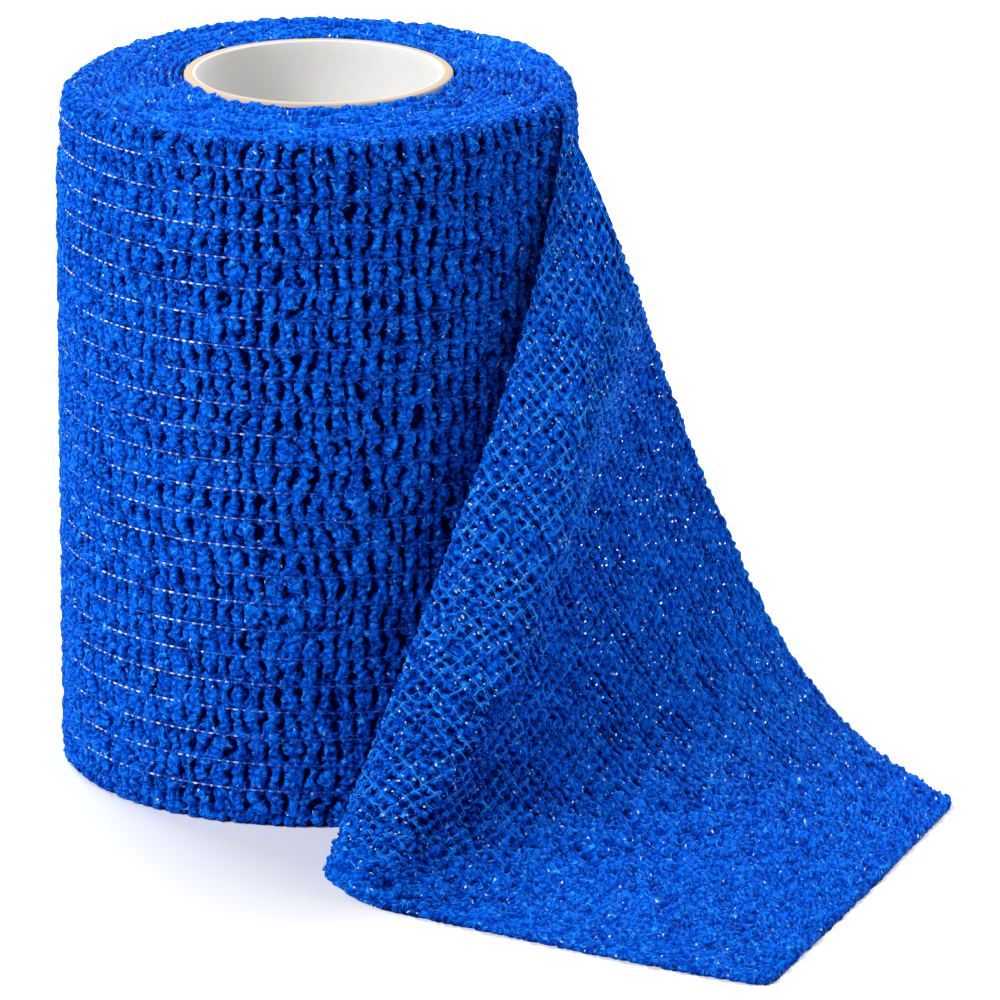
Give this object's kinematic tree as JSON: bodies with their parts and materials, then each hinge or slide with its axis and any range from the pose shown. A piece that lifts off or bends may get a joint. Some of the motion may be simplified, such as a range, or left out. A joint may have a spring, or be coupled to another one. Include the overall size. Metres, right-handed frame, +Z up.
{
  "type": "cohesive bandage roll",
  "caption": "Crinkled elastic cohesive bandage wound on a hollow paper core, standing on its end, with the loose end folded over and laid out flat.",
  "frame": {"origin": "middle of the footprint of the roll and its loose end, on the table", "axes": "+Z up along the roll's axis, -Y towards the viewer, +X to the side where the loose end leaves the roll"},
  "size_m": [0.1258, 0.1398, 0.1],
  "materials": {
    "web": "crinkled nonwoven with a thin dry latex coat, saturated blue, matt with small glints",
    "paperboard": "white lined paperboard tube with a pale kraft cut edge"
  },
  "bodies": {
    "root": {"core": "paperboard", "wound_roll": "web", "loose_end": "web"}
  },
  "joints": []
}
